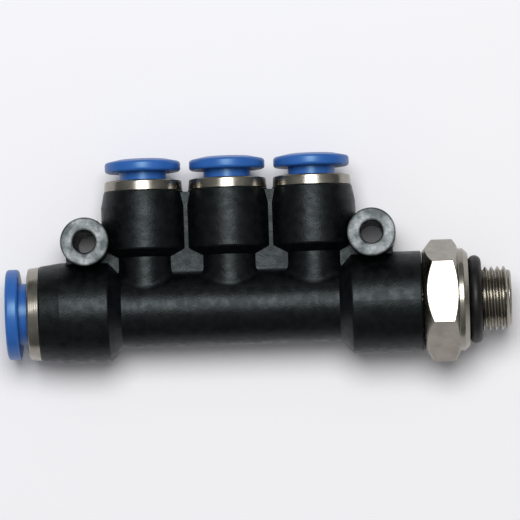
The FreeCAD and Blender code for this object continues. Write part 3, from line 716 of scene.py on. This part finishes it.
def thread_outline():
    """Round root, straight flank and round crest over one pitch: (along, radius)."""
    rounding = ROUND_SHARE * PITCH
    root = CREST - DEPTH_SHARE * PITCH
    turns = [(math.pi / 2 - FLANK) * step / ARC_STEPS for step in range(ARC_STEPS + 1)]
    arc = [(rounding * math.sin(turn), rounding * (1 - math.cos(turn))) for turn in turns]
    half = [(along, root + rise) for along, rise in arc]
    half += [(PITCH / 2 - along, CREST - rise) for along, rise in reversed(arc)]
    return half + [(PITCH - along, radius) for along, radius in reversed(half[:-1])]


def cut_thread():
    """Helical thread as an open sleeve between the neck and the end face."""
    sleeve = bmesh.new()
    first = THREAD_START - EARLY_TURNS * PITCH
    points = [sleeve.verts.new(RUN_CENTRE + Vector((first + along, 0, radius)))
              for along, radius in thread_outline()]
    for start, end in zip(points, points[1:]):
        sleeve.edges.new((start, end))
    bmesh.ops.spin(sleeve, geom=sleeve.verts[:] + sleeve.edges[:], cent=RUN_CENTRE, axis=ALONG_RUN,
                   dvec=ALONG_RUN * PITCH / THREAD_STEPS, angle=2 * math.pi * THREAD_TURNS,
                   steps=THREAD_STEPS * THREAD_TURNS, use_merge=False)
    bmesh.ops.remove_doubles(sleeve, verts=sleeve.verts, dist=THREAD_MERGE)
    for place, direction in ((THREAD_START, -1), (OUTER_END, 1)):
        bmesh.ops.bisect_plane(
            sleeve, geom=sleeve.verts[:] + sleeve.edges[:] + sleeve.faces[:], dist=ON_PLANE,
            plane_co=ALONG_RUN * place, plane_no=ALONG_RUN * direction, clear_outer=True)
    for vert in sleeve.verts:
        arm = vert.co - RUN_CENTRE
        arm.x = 0
        from_start = vert.co.x - THREAD_START
        to_end = OUTER_END - vert.co.x
        most = min(CREST, CREST - END_CHAMFER + to_end, NECK_RADIUS + from_start)
        least = NECK_RADIUS - from_start
        radius = min(max(arm.length, least), most)
        vert.co += arm.normalized() * (radius - arm.length)
    return sleeve


def open_rims(piece, place):
    """Edges of the open rims at a place along the run."""
    return [e for e in piece.edges if e.is_boundary and all(abs(v.co.x - place) < NEAR for v in e.verts)]


def join_thread(piece, sleeve):
    """Add the thread to the blank and close both gaps."""
    mesh = bpy.data.meshes.new("thread_sleeve")
    sleeve.to_mesh(mesh)
    sleeve.free()
    piece.from_mesh(mesh)
    bpy.data.meshes.remove(mesh)
    bmesh.ops.bridge_loops(piece, edges=open_rims(piece, NECK) + open_rims(piece, THREAD_START))
    bmesh.ops.bridge_loops(piece, edges=open_rims(piece, OUTER_END))


join_thread(stud, cut_thread())
print("open edges left:", sum(e.is_boundary for e in stud.edges))
finish_piece(stud, "stud_turned", "threaded_stud", "stud", NICKEL_ALONG_RUN)

# %% [markdown]
# The object lies as it does in the picture: on the stud's lower corner and on
# the end housing at the other end, so the floor is a plane through those two
# places and slopes by about a degree. The stud's lowest corner is taken a little
# way out from the body's end, in the middle of the hexagon. A plain pale floor
# is all the set there is.

# %% Floor
FLOOR_HALF = 600.0
FLOOR_COLOUR = (0.945, 0.925, 0.95, 1)
REST_PLACE = 2.5


def make_floor():
    """Large pale plane under the two points that the object rests on."""
    low_corner = Vector((body_high.x + REST_PLACE, RUN_Y, stud_low.z))
    low_end = Vector((body_low.x, RUN_Y, body_low.z))
    slope = math.atan2(low_corner.z - low_end.z, low_corner.x - low_end.x)
    mesh = bpy.data.meshes.new("floor")
    plane = bmesh.new()
    bmesh.ops.create_grid(plane, x_segments=1, y_segments=1, size=FLOOR_HALF * MM)
    bmesh.ops.rotate(plane, verts=plane.verts, cent=(0, 0, 0), matrix=Matrix.Rotation(-slope, 3, "Y"))
    bmesh.ops.translate(plane, verts=plane.verts, vec=low_end * MM)
    plane.to_mesh(mesh)
    plane.free()
    floor = bpy.data.objects.new("floor", mesh)
    scene.collection.objects.link(floor)
    paper, tree, shader = new_material("floor_paper", Roughness=0.9, Specular_IOR_Level=0.1)
    shader.inputs["Base Color"].default_value = FLOOR_COLOUR
    mesh.materials.append(paper)
    print("floor slope in degrees:", round(math.degrees(slope), 2))


make_floor()

# %% [markdown]
# The camera of the picture was held almost straight above, about 0.7 m away,
# a few degrees towards the run's plain side, and rolled by two degrees. A
# distance and three angles say all of that. The aim is the point of the object
# that lies in the middle of the picture, and the lens follows from the scale
# there, 6.7 pixels to the millimetre in a picture 520 pixels wide.

# %% Camera
PICTURE_WIDTH = 520
SCALE = 6.70
DISTANCE = 730.0
AIM = Vector((4.5, -3.26, 7.5))
TILT_Y = math.radians(-2.85)
TILT_X = math.radians(1.3)
ROLL = math.radians(2.0)
SENSOR = 36.0
FARTHEST_SEEN = 10000.0


def make_camera():
    """Camera above the object, aimed, rolled and focused as in the picture."""
    towards = Vector((math.tan(TILT_X), math.tan(TILT_Y), 1)).normalized()
    right = Vector((math.cos(ROLL), -math.sin(ROLL), 0))
    right = (right - right.dot(towards) * towards).normalized()
    up = towards.cross(right)
    data = bpy.data.cameras.new("camera")
    data.sensor_width = SENSOR
    data.lens = SENSOR * SCALE * DISTANCE / PICTURE_WIDTH
    data.clip_end = FARTHEST_SEEN * MM
    camera = bpy.data.objects.new("camera", data)
    place = Matrix.Translation((AIM + towards * DISTANCE) * MM)
    turn = Matrix((right, up, towards)).transposed().to_4x4()
    camera.matrix_world = place @ turn
    scene.collection.objects.link(camera)
    scene.camera = camera
    print("lens in mm:", round(data.lens, 1))


make_camera()

# %% [markdown]
# One soft lamp stands where the picture's highlights ask for it: every streak on
# the round housings lies a little above its axis, which puts the lamp about 15
# degrees towards the branches. The room around it is dim, so that the black body
# keeps its depth and the plated faces fall off to grey. The lamp's power is set
# so that the floor renders about as pale as its colour is written.

# %% Lamp and room
LAMP_DISTANCE = 620.0
LAMP_SIZE = 340.0
LAMP_LEAN = math.radians(15)
LAMP_POWER = 3.05
LAMP_COLOUR = (0.98, 1.0, 1.0)
ROOM_ZENITH = 0.35
ROOM_HORIZON = 0.09
ROOM_COLOUR = (0.97, 0.99, 1.0, 1)


def make_lamp():
    """Round soft lamp above the branches' side."""
    data = bpy.data.lights.new("soft_lamp", "AREA")
    data.shape = "DISK"
    data.size = LAMP_SIZE * MM
    data.energy = LAMP_POWER
    data.color = LAMP_COLOUR
    lamp = bpy.data.objects.new("soft_lamp", data)
    direction = Vector((0, math.sin(LAMP_LEAN), math.cos(LAMP_LEAN)))
    lamp.location = (RUN_CENTRE + direction * LAMP_DISTANCE) * MM
    lamp.rotation_euler = direction.to_track_quat("Z", "Y").to_euler()
    scene.collection.objects.link(lamp)


def make_room():
    """Dim room, paler overhead than at the walls."""
    world = bpy.data.worlds.new("room")
    world.use_nodes = True
    tree = world.node_tree
    place = tree.nodes.new("ShaderNodeTexCoord")
    split = tree.nodes.new("ShaderNodeSeparateXYZ")
    level = tree.nodes.new("ShaderNodeMapRange")
    level.inputs["To Min"].default_value = ROOM_HORIZON
    level.inputs["To Max"].default_value = ROOM_ZENITH
    tree.links.new(place.outputs["Generated"], split.inputs["Vector"])
    tree.links.new(split.outputs["Z"], level.inputs["Value"])
    tree.links.new(level.outputs["Result"], tree.nodes["Background"].inputs["Strength"])
    tree.nodes["Background"].inputs["Color"].default_value = ROOM_COLOUR
    scene.world = world


make_lamp()
make_room()
scene.view_settings.view_transform = "Standard"
print("lamp and room ready")
